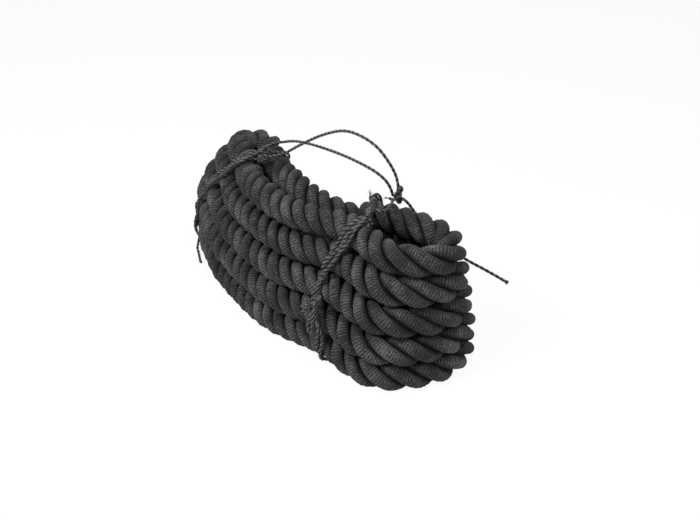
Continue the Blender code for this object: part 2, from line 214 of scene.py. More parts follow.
# How the twine is laid: its plies, and how a binding's two turns wind round each other
LED_STEP = 0.002
PLIES = 2
TWINE_LAY = 0.0166
PLY_CENTRE = 0.00108
PLY_RADIUS = 0.00120
PLY_WIDTH = 0.00165
PLY_SIDES = 8
TWINE_RING = 0.0012
TIP_SWELL = 0.3
BUNDLE_SIDE = 0.0021
BUNDLE_TWISTS = 23
BUNDLE_START = 0.004
DRAWN_STEP = TWINE_D / 8

# The twine's fuzz: fibres to a square metre, their size, one fibre's bend in its own length, and its lean
FUZZ_DENSITY = 150000.0
FUZZ_LENGTH = 0.0016
FUZZ_RADIUS = 0.00009
FUZZ_BEND = {"Middle": (0.15, 0.0, 0.5), "End": (0.75, 0.0, 0.7)}
FUZZ_LEAN = 0.5
FUZZ_RINGS = 3
FULL_FUZZ = 1.0
LOOSE_FUZZ = 0.3

# The fibres that fray from a cut end: each spreads, then curls, by a power, an amount and a random reach
FRAY_FIBRES = 14
FRAY_LENGTH = 0.007
FRAY_SHARES = (0.6, 1.1)
FRAY_RADIUS = 0.00026
FRAY_TIP = 0.5
FRAY_RINGS = 6
FRAY_SIDES = 4
FRAY_BENDS = ((1.6, 0.6, 0.45), (2.2, 0.5, 0.5))

# The loose ends that lie along each binding: start, length, how far aside and how far lifted
LEFT_LYING = [(0.010, 0.135, 0.0044, 0.0018), (0.014, 0.128, -0.0036, 0.0022)]
RIGHT_LYING = [
    (0.008, 0.150, 0.0050, 0.0018), (0.010, 0.095, -0.0048, 0.0024), (0.012, 0.070, 0.0088, 0.0020),
]
LYING_KEPT = 0.35
LYING_SWEEP = (0.1, 0.75)
LYING_WAVE = 0.4
LYING_WAVES = 9.0
BINDINGS = {
    "left": (LEFT_COURSE, LEFT_RUN, LEFT_LYING),
    "right": (RIGHT_COURSE, RIGHT_RUN, RIGHT_LYING),
}

# The ties: seed, size of the loops, courses of the cut ends, and further hitches as scale, tilt and place
TIES = {
    "left": (1, 0.0026, [
        [(-0.006, -0.010, 0.004), (-0.014, -0.017, -0.004)],
        [(0.004, 0.004, 0.010), (0.012, 0.002, 0.013)],
    ], [(0.9, 2.4, (0.007, -0.006, -0.006))]),
    "right": (2, 0.0023, [
        [(-0.004, 0.006, 0.008), (-0.010, 0.012, 0.014)],
        [(0.006, -0.008, 0.002), (0.002, -0.018, -0.006)],
    ], [(1.1, 0.9, (0.004, -0.010, -0.008)), (0.9, 2.2, (0.009, -0.013, -0.014))]),
    "front": (3, 0.0021, [
        [(-0.006, -0.004, -0.004), (-0.012, -0.006, -0.010)],
        [(0.004, -0.004, 0.004), (0.008, -0.006, -0.004)],
        [(0.006, -0.002, 0.010), (0.003, -0.009, 0.014), (-0.006, -0.010, 0.006)],
        [(0.008, 0.000, 0.014), (0.013, -0.006, 0.010), (0.014, -0.010, -0.006), (0.012, -0.010, -0.022)],
    ], [(0.9, 1.2, (0.006, 0.003, 0.011)), (0.8, 2.6, (0.010, 0.006, 0.020))]),
    "carry": (4, 0.0024, [
        [(-0.005, -0.003, -0.004), (-0.011, -0.007, -0.003)],
    ], [(0.9, 1.4, (0.001, 0.000, 0.010))]),
}
FIRST_HITCHES = [(1.0, 0.3, (0.0, 0.0, 0.0)), (0.78, 1.9, (0.0, 0.0, 0.0))]
TIE_POINTS = 90
TIE_SQUASH = 0.75
TIE_DEPTH = 0.9
TIE_DRAWN = 1.15

# The rope's cloth: shader, ribs and loops with a painted highlight on their crests and painted shade in
# their hollows, flecks, its greys, the depths over which painted shade darkens a valley between strands, and
# how dark painted shade falls there and between the twine's plies
CLOTH = {
    "Roughness": 0.85,
    "Specular IOR Level": 0.12,
    "Sheen Weight": 0.05,
    "Sheen Roughness": 0.45,
    "Sheen Tint": (0.55, 0.55, 0.58, 1.0),
}
RIB_PITCH = 0.0031
RIB_LOOPS = 24
RIB_WANDER = 4.0
RIB_SLANT = 1.5
LOOP_SHARE = 0.28
RIB_BUMP = 0.0006
RIB_PAINTED_LIGHT_AND_SHADE = 0.26
FLECK_TONE = 1.50
BASE_TONE = 0.115
WANDER_NOISE = (160.0, 3.0)
PATCH_NOISE = (26.0, 4.0)
SPECK_NOISE = (520.0, 2.0)
CLOTH_GREYS = ((0.20, 0.004, 0.00412), (0.55, 0.019, 0.01957), (0.92, 0.118, 0.12154))
PAINTED_VALLEY_SHADE = (0.0125, 0.0208)
PAINTED_SHADE_DARKEST = 0.03

# The twine's fibre: shader, the fibres' stretch along it, its greys, and where painted shade darkens it
# between plies
FIBRE = {"Roughness": 0.8, "Specular IOR Level": 0.2}
FIBRE_STRETCH = (9.0, 160.0, 1.0)
FIBRE_NOISE = (4.0, 4.0)
FIBRE_GREYS = ((0.35, 0.020, 0.021), (0.70, 0.17, 0.173))
FIBRE_BUMP = 0.0004
FIBRE_BUMP_STRENGTH = 0.6
PAINTED_SHADE_BETWEEN_PLIES = (-0.2, 0.9)

# The studio: each lamp's place, size and power, the point it looks at, the world and the floor
LAMPS = {
    "left": ((-0.35, -1.20, 1.50), 0.7, 42.0),
    "right": ((1.45, -0.10, 1.15), 0.8, 11.0),
    "top": ((0.30, 0.30, 1.90), 1.0, 17.0),
}
LAMP_TARGET = (0.0, 0.0, 0.1)
WORLD_COLOUR = (0.95, 0.97, 1.0, 1.0)
WORLD_LIGHT = 0.12
WHITE = (1.0, 1.0, 1.0, 1.0)
FLOOR_SIZE = 40.0
FLOOR = {"Base Color": (0.9, 0.9, 0.9, 1.0), "Roughness": 0.9}
FLOOR_WHITE = 0.93

# The photograph's view
CAMERA_TARGET = (0.0914, 0.0182, 0.0869)
CAMERA_AZIMUTH = math.radians(42)
CAMERA_ELEVATION = math.radians(32)
CAMERA_DISTANCE = 1.406
CAMERA_LENS = 47.88
CAMERA_SENSOR = 36.0


def smoothstep(value, start, end):
    """Zero before start, one after end, smooth between."""
    share = np.clip((value - start) / (end - start), 0.0, 1.0)
    return share * share * (3.0 - 2.0 * share)


def catmull(before, start, end, after, share):
    """A Catmull-Rom span between start and end."""
    linear = (end - before) * share
    square = (2 * before - 5 * start + 4 * end - after) * share**2
    cube = (3 * start - before - 3 * end + after) * share**3
    return 0.5 * (2 * start + linear + square + cube)


def on_loop(points, phase):
    """The point of a closed smooth curve at a phase."""
    points = np.array(points)
    count = len(points)
    index = int(math.floor(phase))
    nearby = [points[(index + step) % count] for step in (-1, 0, 1, 2)]
    return catmull(*nearby, phase - index)


def smooth_route(points, spacing):
    """An open smooth curve through the points, read at even steps."""
    points = np.array(points)
    padded = np.vstack([2 * points[0] - points[1], points, 2 * points[-1] - points[-2]])
    dense = []
    for index in range(1, len(points)):
        for share in np.linspace(0.0, 1.0, SPAN_POINTS, endpoint=False):
            dense.append(catmull(*padded[index - 1:index + 3], share))
    dense.append(points[-1])
    return even_steps(np.array(dense), spacing)


def run_length(path):
    """How far along a path each of its points lies."""
    return np.concatenate([[0.0], np.cumsum(np.linalg.norm(np.diff(path, axis=0), axis=1))])


def even_steps(path, spacing):
    """The same path with points at even steps."""
    lengths = run_length(path)
    count = max(2, int(round(lengths[-1] / spacing)) + 1)
    marks = np.linspace(0.0, lengths[-1], count)
    return np.column_stack([np.interp(marks, lengths, path[:, axis]) for axis in range(3)])


def route(points):
    """A free route in the part's frame."""
    return np.array(points) - np.array([ORIGIN[0], ORIGIN[1], 0.0])


def level_and_column(turns, phase):
    """The layer, counted down from the top, and the column, 0 inner and 1 outer, at a turn and phase."""
    if turns < INNER_TURNS:
        return 1 + turns + smoothstep(phase, *DESCENT_PHASES), 0.0
    if turns == INNER_TURNS:
        return float(LAYERS - 1), smoothstep(phase, *SHIFT_PHASES)
    climbed = turns - INNER_TURNS - 1 + smoothstep(phase, *CLIMB_PHASES)
    return LAYERS - 1 - climbed, 1.0


def lifted(x):
    """How far the bindings hold the runs up at a plan x."""
    right = math.exp(-(((x - RIGHT_LIFT_X) / LIFT_LENGTH) ** 2))
    left = 1.0 - smoothstep(x, LEFT_LIFT_X, LEFT_LIFT_X + LIFT_LENGTH)
    return LIFT * max(right, left)


def hank_point(position):
    """The rope's axis at a position counted in loop points from the first loop's start."""
    steps = len(TOP_LOOP)
    turns = int((position - BACK_PHASE) // steps)
    phase = position - turns * steps
    level, column = level_and_column(turns, phase)
    share = float(np.interp(level, range(LAYERS), LAYER_SHARES))
    outer = (1 - share) * on_loop(TOP_LOOP, phase) + share * on_loop(BOTTOM_LOOP, phase)
    first = LAYER_SHARES[1]
    inner_share = (share - first) / (1 - first)
    inner = (1 - inner_share) * on_loop(INNER_TOP, phase) + inner_share * on_loop(INNER_BOTTOM, phase)
    plan = column * outer + (1 - column) * inner
    height = ROPE_D / 2 - FLAT_DEPTH + (LAYERS - 1 - level) * LAYER_STEP + lifted(plan[0])
    return np.array([plan[0] - ORIGIN[0], plan[1] - ORIGIN[1], height])


def hank_path(per_loop):
    """The rope's axis, from its first end inside the hank to its last end under the right binding."""
    steps = len(TOP_LOOP)
    last = (INNER_TURNS + LAYERS) * steps + END_PHASE
    count = int(round((last - START_PHASE) / steps * per_loop)) + 1
    return np.array([hank_point(position) for position in np.linspace(START_PHASE, last, count)])


def straighten_ends(path, length):
    """Adds a straight length at each end, in line with it, for a square cut."""
    first = path[0] - path[1]
    last = path[-1] - path[-2]
    start = path[0] + first / np.linalg.norm(first) * length
    end = path[-1] + last / np.linalg.norm(last) * length
    return np.vstack([start, path, end])


def aside_from(way):
    """A way that isn't near another one: up, or to the right where that one is nearly upright."""
    return np.array(UP if abs(way[2]) < UPRIGHT else RIGHTWARD)


def axes_about(direction):
    """Three axes with the last along a direction."""
    along = np.array(direction) / np.linalg.norm(direction)
    side = np.cross(aside_from(along), along)
    side = side / np.linalg.norm(side)
    return side, np.cross(along, side), along


def closed_curve(points, per_span):
    """A closed smooth curve through three-dimensional points."""
    phases = np.arange(0, len(points), 1 / per_span)
    return np.array([on_loop(points, phase) for phase in phases])


def clear_of(rope, path, least):
    """Moves the points of a path that are too near the rope's axis straight away from it."""
    gaps = path[:, None, :] - rope[None, :, :]
    distances = np.linalg.norm(gaps, axis=2)
    nearest = distances.argmin(axis=1)
    rows = np.arange(len(path))
    away = gaps[rows, nearest] / distances[rows, nearest][:, None]
    return path + np.maximum(least - distances[rows, nearest], 0.0)[:, None] * away


def thinned(path, slack):
    """Leaves out the points that lie on the line between their neighbours, within a slack."""
    kept = [0]
    for index in range(2, len(path)):
        start = path[kept[-1]]
        chord = path[index] - start
        off = np.linalg.norm(np.cross(path[kept[-1] + 1:index] - start, chord), axis=1)
        if off.max() > slack * np.linalg.norm(chord):
            kept.append(index - 1)
    return path[kept + [len(path) - 1]]


def off_floor(path):
    """A twine's path, kept from sinking into the floor."""
    path[:, 2] = np.maximum(path[:, 2], TWINE_D / 2)
    return path


def tight_loop(rope, course, run, clear):
    """One closed loop of twine pulled tight about the runs."""
    loop = closed_curve(route(course), BINDING_SPAN)
    loop = np.vstack([loop, loop[:1]])
    loop = even_steps(loop, run_length(loop)[-1] / BINDING_POINTS)[:-1]
    home = loop @ run
    outward = loop - loop.mean(axis=0)
    outward -= np.outer(outward @ run, run)
    loop = loop + BINDING_REACH * outward / np.linalg.norm(outward, axis=1)[:, None]
    for _ in range(PULLS):
        loop = (np.roll(loop, 1, axis=0) + np.roll(loop, -1, axis=0)) / 2
        loop = clear_of(rope, loop, clear)
        loop -= np.outer(loop @ run - home, run)
        loop = off_floor(loop)
    return loop


def draw_tight(rope, course, run):
    """Turns of twine pulled tight about the runs, from the knot down the front and round to the knot."""
    run = np.array(run)
    start = route(course)
    clear = (ROPE_D + TWINE_D) / 2 + SEAT_GAP + BINDING_SLACK
    away = np.linalg.norm(rope[:, None, :] - start[None, :, :], axis=2).min(axis=1)
    near = rope[away < BINDING_NEAR]
    loop = tight_loop(near, course, run, clear)

    count = len(loop)
    total = BINDING_TURNS * count + 1
    drift = BINDING_PITCH * (np.arange(total) / count - BINDING_TURNS / 2)
    path = np.array([loop[index % count] for index in range(total)]) + np.outer(drift, run)
    for _ in range(SETTLES):
        path = off_floor(clear_of(near, path, clear))

    middle = path[count // 2:count + count // 2]
    index = np.linalg.norm(middle - start[0], axis=1).argmin()
    way = middle[index + 2] - middle[index - 2]
    way /= np.linalg.norm(way)
    above = np.array(UP) - way[2] * way
    knot = middle[index] + above / np.linalg.norm(above) * (TWINE_D / 2 + SEAT_GAP + KNOT_RADIUS)
    starts = leaving(knot, way, KNOT_LENGTH / 2)
    ends = leaving(knot, -way, KNOT_LENGTH / 2)
    clear_ends = np.linalg.norm(path - knot, axis=1) > BINDING_END
    first = np.argmax(clear_ends)
    last = len(path) - np.argmax(clear_ends[::-1])
    return np.vstack([starts, thinned(path[first:last], BINDING_SLACK), ends[::-1]]), knot, way


def in_front(turns, place):
    """Where an upright knot near a place lies against the front of a binding."""
    least = TWINE_D / 2 + SEAT_GAP + KNOT_RADIUS
    crest = (KNOT_LENGTH - KNOT_LENGTH / KNOT_TURNS) / 2
    for height in np.linspace(place[2] - crest, place[2] + crest, KNOT_SIDES):
        room = least**2 - (turns[:, 0] - place[0]) ** 2 - (turns[:, 2] - height) ** 2
        touched = room > 0
        fronts = turns[touched, 1] - np.sqrt(room[touched])
        place[1] = min([place[1], *fronts])
    return place


def leaving(place, direction, length):
    """Two points that lead a twine square away from a surface at a distance from a place."""
    direction = np.array(direction) / np.linalg.norm(direction)
    return [place + direction * (length + SEAT_GAP), place + direction * (length + SEAT_GAP + TWINE_D)]


def beside(knot, way, direction):
    """Two points that lead a twine square away from a knot's side."""
    direction = np.array(direction) - np.dot(direction, way) * np.array(way)
    return leaving(knot, direction, KNOT_RADIUS)


def led(start, points, end=()):
    """A twine's course from a start through a route's points to an end, kept off the floor."""
    path = smooth_route([*start[1:], *route(points), *end[1:]], LED_STEP)
    return off_floor(np.vstack([start[:1], path, *end[:1]]))


def tangents(path):
    """The way a path goes at each of its points."""
    ways = np.gradient(path, axis=0)
    return ways / np.linalg.norm(ways, axis=1)[:, None]


def carried_frames(path):
    """Two axes square to a path at each point, carried along it without twist."""
    ways = tangents(path)
    side = np.cross(ways[0], aside_from(ways[0]))
    sides = []
    for way in ways:
        side = side - (side @ way) * way
        side = side / np.linalg.norm(side)
        sides.append(side)
    sides = np.array(sides)
    return sides, np.cross(ways, sides)


def strand_rings(path, turn, centre, radius, width, sides, girth):
    """Rings round one strand that winds about a path as far as each turn, and how far along it each lies."""
    first, second = carried_frames(path)
    outward = np.cos(turn)[:, None] * first + np.sin(turn)[:, None] * second
    line = path + (centre * girth)[:, None] * outward
    ways = tangents(line)
    outward = outward - (outward * ways).sum(axis=1)[:, None] * ways
    outward /= np.linalg.norm(outward, axis=1)[:, None]
    across = np.cross(ways, outward)
    widths = width * np.ones(len(path))
    angles = np.arange(sides) * 2 * math.pi / sides
    ring = radius * np.cos(angles)[None, :, None] * outward[:, None, :]
    ring = ring + widths[:, None, None] * np.sin(angles)[None, :, None] * across[:, None, :]
    return line[:, None, :] + girth[:, None, None] * ring, run_length(line)


def tube_piece(name, strands, material):
    """One mesh of closed tubes, each given as rings of points and the length along it."""
    corners = []
    faces = []
    uvs = []
    for rings, along in strands:
        start = sum(len(part) for part in corners)
        count, sides = rings.shape[:2]
        corners.append(rings.reshape(-1, 3))
        for row in range(count - 1):
            for side in range(sides):
                following = (side + 1) % sides
                low = start + row * sides
                high = low + sides
                faces.append((low + side, low + following, high + following, high + side))
                uvs += [
                    (side / sides, along[row]), ((side + 1) / sides, along[row]),
                    ((side + 1) / sides, along[row + 1]), (side / sides, along[row + 1]),
                ]
        faces.append(tuple(start + side for side in reversed(range(sides))))
        faces.append(tuple(start + (count - 1) * sides + side for side in range(sides)))
        uvs += [(0.0, along[0])] * sides + [(0.0, along[-1])] * sides
    mesh = bpy.data.meshes.new(name)
    mesh.from_pydata(np.vstack(corners).tolist(), [], faces)
    layer = mesh.uv_layers.new(name="UVMap")
    layer.data.foreach_set("uv", np.array(uvs, dtype=np.float32).ravel())
    mesh.materials.append(material)
    mesh.shade_smooth()
    piece = bpy.data.objects.new(name, mesh)
    bpy.context.scene.collection.objects.link(piece)
    return piece


def set_depths(piece, depths):
    """Gives a piece's points their distance from the rope's axis, for the cloth's painted shade in its
    valleys.
    """
    layer = piece.data.attributes.new("depth", "FLOAT", "POINT")
    layer.data.foreach_set("value", np.array(depths, dtype=np.float32))


def held_off(room):
    """Room that never runs out: below PRESSED it eases towards zero."""
    return np.where(room < PRESSED, PRESSED * np.exp(room / PRESSED - 1.0), room)


def pressed_by_neighbours(points, owner, axis, along):
    """Moves points that lie nearer to another run of the rope back to the plane between the two runs."""
    moved = points.copy()
    apart = np.abs(along[:, None] - along[None, :]) > NEIGHBOUR_APART
    places = axis.astype(np.float32)
    for start in range(0, len(points), PRESS_BLOCK):
        own = owner[start:start + PRESS_BLOCK]
        part = points[start:start + PRESS_BLOCK]
        distances = ((part[:, None, :].astype(np.float32) - places[None, :, :]) ** 2).sum(axis=2)
        distances[~apart[own]] = np.inf
        other = axis[distances.argmin(axis=1)]
        middle = (axis[own] + other) / 2
        way = other - axis[own]
        way /= np.linalg.norm(way, axis=1)[:, None]
        room = -((part - middle) * way).sum(axis=1)
        moved[start:start + PRESS_BLOCK] = part - (held_off(room) - room)[:, None] * way
    return moved


def pressed_by_twine(points, centres, twine):
    """Draws points in towards the rope's axis where a tight twine crosses them."""
    tree = KDTree(len(twine))
    for index, place in enumerate(twine):
        tree.insert(Vector(place), index)
    tree.balance()
    moved = points.copy()
    for index, point in enumerate(points):
        distance = tree.find(Vector(point))[2]
        if distance < DENT_LIMIT:
            inward = centres[index] - point
            inward /= np.linalg.norm(inward) + MERGE
            moved[index] = point + inward * DENT_DEPTH * math.exp(-(distance / DENT_REACH) ** 2)
    return moved


def rope_axis(coarse):
    """The rope's axis at close, even steps, with the straight ends of its coarse path."""
    fine = np.vstack([coarse[:1], hank_path(LOOP_POINTS * FINE_STEPS), coarse[-1:]])
    return even_steps(fine, ROPE_STEP)


def lay_openness(axis):
    """How far the lay opens along the rope: the outer bends at both ends pull it long."""
    x = axis[:, 0] + ORIGIN[0]
    front = 1.0 - smoothstep(axis[:, 1] + ORIGIN[1], *OPEN_FRONT)
    right = smoothstep(x, *RIGHT_END) * front
    left = 1.0 - smoothstep(x, *LEFT_END)
    return RIGHT_OPEN * right + LEFT_OPEN * left


def make_rope(axis, twine, material):
    """The laid rope: plump strands, pressed by the runs beside them, the twine and the floor."""
    along = run_length(axis)
    ends = np.minimum(along, along[-1] - along)
    girth = 1.0 - END_TAPER * (1.0 - smoothstep(ends, 0.0, ROPE_D))
    opened = lay_openness(axis)
    turns = 2 * math.pi * np.diff(along) / (LAY_LENGTH * (1.0 + opened[1:]))
    turn = np.concatenate([[0.0], np.cumsum(turns)])
    width = STRAND_WIDTH + (OPEN_WIDTH - STRAND_WIDTH) * np.clip(opened / RIGHT_OPEN, 0.0, 1.0)
    owner = np.repeat(np.arange(len(axis)), STRAND_SIDES)
    random = np.random.default_rng(LAY_SEED)
    marks = np.linspace(0, along[-1], SLIP_MARKS)
    strands = []
    depths = []
    for strand in range(STRANDS):
        swell = np.interp(along, marks, random.uniform(1.0 - SWELL, 1.0 + SWELL, SLIP_MARKS))
        phase = turn + 2 * math.pi * strand / STRANDS
        phase = phase + np.interp(along, marks, random.uniform(-SLIP, SLIP, SLIP_MARKS))
        rings, length = strand_rings(
            axis, phase, STRAND_CENTRE, STRAND_RADIUS, width, STRAND_SIDES, girth * swell)
        flat = rings.reshape(-1, 3)
        # Each point's distance from the axis, the mask for the cloth's painted shade in the valleys between
        # strands.
        depths.append(np.linalg.norm(flat - axis[owner], axis=1))
        flat = pressed_by_twine(flat, axis[owner], twine)
        flat = pressed_by_neighbours(flat, owner, axis, along)
        flat[:, 2] = held_off(flat[:, 2])
        steps = np.diff(length, prepend=0.0) / (1.0 + STRETCH * opened)
        strands.append((flat.reshape(rings.shape), np.cumsum(steps)))
    rope = tube_piece("laid_rope", strands, material)
    set_depths(rope, np.concatenate(depths))
    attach(rope, "root")
    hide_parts("rope_hank")
    return rope


def sleeve_profile():
    """A cap's heights past the cut end and its radii: its lap, the shoulder to its neck, and its dome."""
    outside = ROPE_D / 2
    body = outside * SLEEVE_BODY
    shares = np.linspace(0.0, 1.0, SLEEVE_RINGS)
    profile = []
    for share in shares[:-1]:
        mouth = SLEEVE_MOUTH + (SLEEVE_BODY - SLEEVE_MOUTH) * share
        profile.append((-SLEEVE_LAP + SLEEVE_LAP * share, outside * mouth))
    for share in shares:
        shoulder = body + (SLEEVE_NECK - body) * smoothstep(share, 0.0, 1.0)
        profile.append((SLEEVE_LENGTH * SLEEVE_NECK_SHARE * share, shoulder))
    height, radius = profile[-1]
    for angle in np.linspace(0.0, math.pi / 2, DOME_RINGS)[1:]:
        rise = SLEEVE_NECK * DOME_HEIGHT * math.sin(angle)
        profile.append((height + rise, max(radius * math.cos(angle) ** DOME_FULLNESS, MERGE)))
    return np.array(profile)


def make_sleeve(name, node, end, before, material):
    """A woven cap drawn over the three strands at a cut end: lobed, necked in fast and rounded off."""
    side, second, way = axes_about(end - before)
    outside = ROPE_D / 2
    profile = sleeve_profile()
    turns = np.arange(CAP_SIDES) * 2 * math.pi / CAP_SIDES
    rings = []
    for height, radius in profile:
        fullness = LOBE * smoothstep(radius, SLEEVE_NECK, outside)
        reach = radius * (1.0 + fullness * np.cos(STRANDS * turns + height / SLEEVE_LENGTH))
        ring = (reach * np.cos(turns))[:, None] * side + (reach * np.sin(turns))[:, None] * second
        rings.append(end + height * way + ring)
    piece = tube_piece(name, [(np.array(rings), run_length(profile))], material)
    # The caps all take the depth of the rope's outer radius, so the cloth's painted valley shade falls on
    # them evenly and lightly.
    set_depths(piece, np.full(len(piece.data.vertices), outside))
    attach(piece, "root")
    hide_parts(node)
    return piece


def binding_axes(path, run):
    """Two axes square to a binding at each point: one near the way of the runs, one out from the hank."""
    ways = tangents(path)
    side = np.cross(ways, np.cross(np.array(run), ways))
    side /= np.linalg.norm(side, axis=1)[:, None]
    outward = np.cross(ways, side)
    outward *= np.sign((outward * (path - path.mean(axis=0))).sum(axis=1))[:, None]
    return side, outward


def bundled(turns, run):
    """The two turns of a binding, twisted round each other as they go about the hank."""
    path = even_steps(turns, TWINE_RING)
    along = run_length(path)
    side, outward = binding_axes(path, run)
    phase = 2 * math.pi * BUNDLE_TWISTS * along / along[-1]
    eased = smoothstep(np.minimum(along, along[-1] - along), BUNDLE_START, BINDING_END)
    lift = BUNDLE_SIDE * (1.0 + np.sin(phase)) * eased
    shift = BUNDLE_SIDE * np.cos(phase) * eased
    return path + shift[:, None] * side + lift[:, None] * outward


def lying_end(turns, run, start, length, aside, lift):
    """A loose end that lies beside a binding, from near its knot down the front."""
    path = even_steps(turns, TWINE_RING)
    along = run_length(path)
    side, outward = binding_axes(path, run)
    kept = (along > start) & (along < start + length)
    share = (along[kept] - start) / length
    sweep = np.sin(math.pi * (LYING_SWEEP[0] + LYING_SWEEP[1] * share))
    drift = aside * (LYING_KEPT + (1.0 - LYING_KEPT) * sweep)
    rise = lift * (1.0 + LYING_WAVE * np.sin(LYING_WAVES * share))
    return path[kept] + drift[:, None] * side[kept] + rise[:, None] * outward[kept]


def added(tree, kind, inputs=None, **settings):
    """A new node, with its settings made and each named input set or linked."""
    made = tree.nodes.new(kind)
    for key, value in settings.items():
        setattr(made, key, value)
    for socket, value in (inputs or {}).items():
        if isinstance(value, bpy.types.NodeSocket):
            tree.links.new(value, made.inputs[socket])
        else:
            made.inputs[socket].default_value = value
    return made


def fuzz_tree(material):
    """Geometry nodes that stand short bent fibres on a twine and leave them joined to it."""
    tree = bpy.data.node_groups.new("twine_fuzz", "GeometryNodeTree")
    tree.interface.new_socket("Geometry", in_out="INPUT", socket_type="NodeSocketGeometry")
    for name, value in (
        ("Fibres per square metre", FUZZ_DENSITY),
        ("Fibre length", FUZZ_LENGTH),
        ("Fibre radius", FUZZ_RADIUS),
    ):
        tree.interface.new_socket(name, in_out="INPUT", socket_type="NodeSocketFloat").default_value = value
    tree.interface.new_socket("Seed", in_out="INPUT", socket_type="NodeSocketInt").default_value = 1
    tree.interface.new_socket("Geometry", in_out="OUTPUT", socket_type="NodeSocketGeometry")
    given = tree.nodes.new("NodeGroupInput").outputs
    scatter = added(tree, "GeometryNodeDistributePointsOnFaces", {
        "Mesh": given["Geometry"], "Density": given["Fibres per square metre"], "Seed": given["Seed"]})

    bend = added(tree, "GeometryNodeCurveQuadraticBezier", {
        "Resolution": FUZZ_RINGS, "Start": (0.0, 0.0, 0.0)})
    for socket, shares in FUZZ_BEND.items():
        scaled = added(
            tree, "ShaderNodeVectorMath", {0: shares, "Scale": given["Fibre length"]}, operation="SCALE")
        tree.links.new(scaled.outputs[0], bend.inputs[socket])
    outline = added(tree, "GeometryNodeCurvePrimitiveCircle", {
        "Resolution": FUZZ_RINGS, "Radius": given["Fibre radius"]})
    fibre = added(tree, "GeometryNodeCurveToMesh", {
        "Curve": bend.outputs["Curve"], "Profile Curve": outline.outputs["Curve"]})

    tilt = added(tree, "FunctionNodeRandomValue", {
        "Min": (-FUZZ_LEAN, -FUZZ_LEAN, 0.0), "Max": (FUZZ_LEAN, FUZZ_LEAN, 2 * math.pi),
        "Seed": given["Seed"]}, data_type="FLOAT_VECTOR")
    as_turn = added(tree, "FunctionNodeEulerToRotation", {0: tilt.outputs["Value"]})
    turned = added(tree, "FunctionNodeRotateRotation", {
        "Rotation": scatter.outputs["Rotation"], "Rotate By": as_turn.outputs[0]}, rotation_space="LOCAL")

    stand = added(tree, "GeometryNodeInstanceOnPoints", {
        "Points": scatter.outputs["Points"], "Instance": fibre.outputs["Mesh"],
        "Rotation": turned.outputs["Rotation"]})
    realised = added(tree, "GeometryNodeRealizeInstances", {"Geometry": stand.outputs["Instances"]})
    join = added(tree, "GeometryNodeJoinGeometry", {"Geometry": given["Geometry"]})
    tree.links.new(realised.outputs["Geometry"], join.inputs["Geometry"])
    finish = added(tree, "GeometryNodeSetMaterial", {
        "Material": material, "Geometry": join.outputs["Geometry"]})
    added(tree, "NodeGroupOutput", {"Geometry": finish.outputs["Geometry"]})
    return tree


def fuzzed(piece, tree, share, seed):
    """Stands a share of the full fuzz on a piece of twine, and makes the result a plain mesh."""
    modifier = piece.modifiers.new("fuzz", "NODES")
    modifier.node_group = tree
    values = {"Fibres per square metre": FUZZ_DENSITY * share, "Seed": seed}
    for item in tree.interface.items_tree:
        if item.in_out == "INPUT" and item.name in values:
            modifier[item.identifier] = values[item.name]
    graph = bpy.context.evaluated_depsgraph_get()
    mesh = bpy.data.meshes.new_from_object(piece.evaluated_get(graph))
    piece.modifiers.remove(modifier)
    corners = np.empty(3 * len(mesh.vertices), dtype=np.float32)
    mesh.vertices.foreach_get("co", corners)
    corners[2::3] = np.maximum(corners[2::3], SEAT_GAP / 2)
    mesh.vertices.foreach_set("co", corners)
    piece.data = mesh
    return piece


def two_ply(path, girth=None):
    """The rings of a twine's plies, twisted round each other along a path."""
    if girth is None:
        girth = np.ones(len(path))
    turn = 2 * math.pi * run_length(path) / TWINE_LAY
    plies = []
    for ply in range(PLIES):
        phase = turn + 2 * math.pi * ply / PLIES
        plies.append(strand_rings(path, phase, PLY_CENTRE, PLY_RADIUS, PLY_WIDTH, PLY_SIDES, girth))
    return plies


def make_of_twine(name, node, parts, material, tree, share, seed):
    """A fuzzed piece of plies and fibres, kept off the floor."""
    for rings, _ in parts:
        rings[:, :, 2] = np.maximum(rings[:, :, 2], SEAT_GAP / 2)
    piece = fuzzed(tube_piece(name, parts, material), tree, share, seed)
    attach(piece, "root")
    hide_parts(node)
    return piece


def make_twine(node, course, material, tree, seed):
    """A twine along its course, and its path: a tail has a fuller tip, and a binding all its fuzz."""
    path = even_steps(course, TWINE_RING)
    along = run_length(path)
    girth = np.ones(len(path))
    if node.endswith("tail"):
        girth = girth + TIP_SWELL * np.exp(-((along[-1] - along) / TWINE_D) ** 2)
    share = FULL_FUZZ if node.endswith("binding") else LOOSE_FUZZ
    return make_of_twine(node + "_twine", node, two_ply(path, girth), material, tree, share, seed), path


def hitch_path(size, tilt):
    """A knotted closed curve about the origin, tilted over and drawn out along its axis."""
    t = np.linspace(0.0, 2 * math.pi, TIE_POINTS, endpoint=False)
    x = np.sin(t) + 2 * np.sin(2 * t)
    y = np.cos(t) - 2 * np.cos(2 * t)
    z = -np.sin(3 * t)
    path = np.column_stack([x * size, y * size * TIE_SQUASH, z * size * TIE_DEPTH])
    spin = np.array([[1, 0, 0], [0, math.cos(tilt), -math.sin(tilt)], [0, math.sin(tilt), math.cos(tilt)]])
    path = path @ spin.T
    return np.column_stack([path[:, 2], path[:, 1], path[:, 0] * TIE_DRAWN])


def frayed(start, way, random):
    """Loose fibres that spread and curl from a twine's cut end."""
    share = np.linspace(0.0, 1.0, FRAY_RINGS)[:, None]
    girth = np.linspace(1.0, FRAY_TIP, FRAY_RINGS)
    fibres = []
    for _ in range(FRAY_FIBRES):
        line = share * way
        for power, amount, reach in FRAY_BENDS:
            line = line + share**power * amount * random.normal(0.0, reach, 3)
        line = start + FRAY_LENGTH * random.uniform(*FRAY_SHARES) * line
        line[:, 2] = np.maximum(line[:, 2], SEAT_GAP)
        fibres.append(strand_rings(
            line, np.zeros(FRAY_RINGS), 0.0, FRAY_RADIUS, FRAY_RADIUS, FRAY_SIDES, girth))
    return fibres


